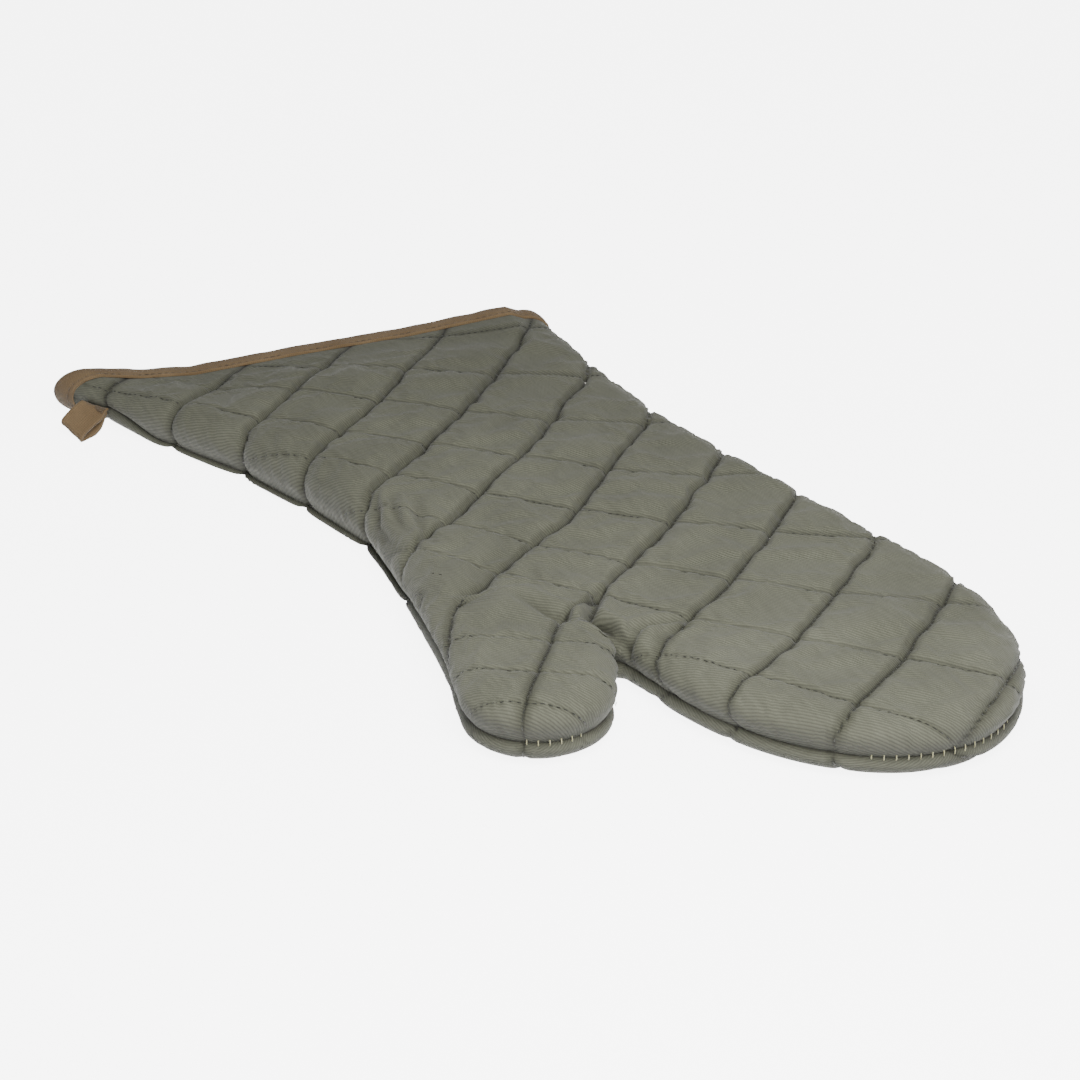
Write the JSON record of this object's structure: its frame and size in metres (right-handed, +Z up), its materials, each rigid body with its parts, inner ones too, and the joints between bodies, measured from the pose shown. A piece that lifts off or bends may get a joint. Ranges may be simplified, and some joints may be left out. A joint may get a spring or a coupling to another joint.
{
  "type": "oven mitt",
  "caption": "Quilted cotton oven mitt with a long flared cuff, bound mouth and hang loop; finger pocket and thumb fold to grip.",
  "frame": {"origin": "middle of the mitt's outline in plan, on the surface it lies on", "axes": "+X towards the thumb side, +Y towards the fingertips, +Z up through the palm; the mouth is at -Y"},
  "size_m": [0.2304, 0.4653, 0.0254],
  "materials": {
    "outer_cloth": "flame retardant cotton twill, matte sage grey-green",
    "batting": "needled cotton batting, undyed",
    "lining": "plain weave cotton, undyed",
    "tape": "folded cotton bias tape, tan",
    "tape_thread": "spun thread, brown",
    "seam_thread": "spun thread, pale yellow",
    "quilting_thread": "spun thread, dark olive"
  },
  "bodies": {
    "palm": {"palm_cloth_top": "outer_cloth", "palm_batting_top": "batting", "palm_lining_top": "lining", "palm_cloth_bottom": "outer_cloth", "palm_batting_bottom": "batting", "palm_lining_bottom": "lining", "cuff_binding": "tape", "binding_thread": "tape_thread", "loop_bartack": "tape_thread", "palm_seam_thread": "seam_thread", "palm_quilting_top": "quilting_thread", "palm_quilting_bottom": "quilting_thread"},
    "fingers": {"fingers_cloth_top": "outer_cloth", "fingers_batting_top": "batting", "fingers_lining_top": "lining", "fingers_cloth_bottom": "outer_cloth", "fingers_batting_bottom": "batting", "fingers_lining_bottom": "lining", "fingers_seam_thread": "seam_thread", "fingers_quilting_top": "quilting_thread", "fingers_quilting_bottom": "quilting_thread"},
    "thumb": {"thumb_cloth_top": "outer_cloth", "thumb_batting_top": "batting", "thumb_lining_top": "lining", "thumb_cloth_bottom": "outer_cloth", "thumb_batting_bottom": "batting", "thumb_lining_bottom": "lining", "thumb_seam_thread": "seam_thread", "thumb_quilting_top": "quilting_thread", "thumb_quilting_bottom": "quilting_thread"},
    "loop": {"hang_loop": "tape"}
  },
  "joints": [
    {"name": "finger_fold", "type": "hinge", "parent": "palm", "child": "fingers", "pos_m": [-0.038, 0.10645, 0.0255], "axis": [1, 0, 0], "range_deg": [0, 75], "stiffness_Nm_per_rad": 0.03},
    {"name": "thumb_fold", "type": "hinge", "parent": "palm", "child": "thumb", "pos_m": [0.03338, 0.10487, 0.0255], "axis": [0.4796, -0.8775, 0], "range_deg": [0, 60], "stiffness_Nm_per_rad": 0.02},
    {"name": "loop_swing", "type": "hinge", "parent": "palm", "child": "loop", "pos_m": [0.10211, -0.21107, 0.011], "axis": [0.2051, -0.9787, 0], "range_deg": [0, 75]}
  ]
}
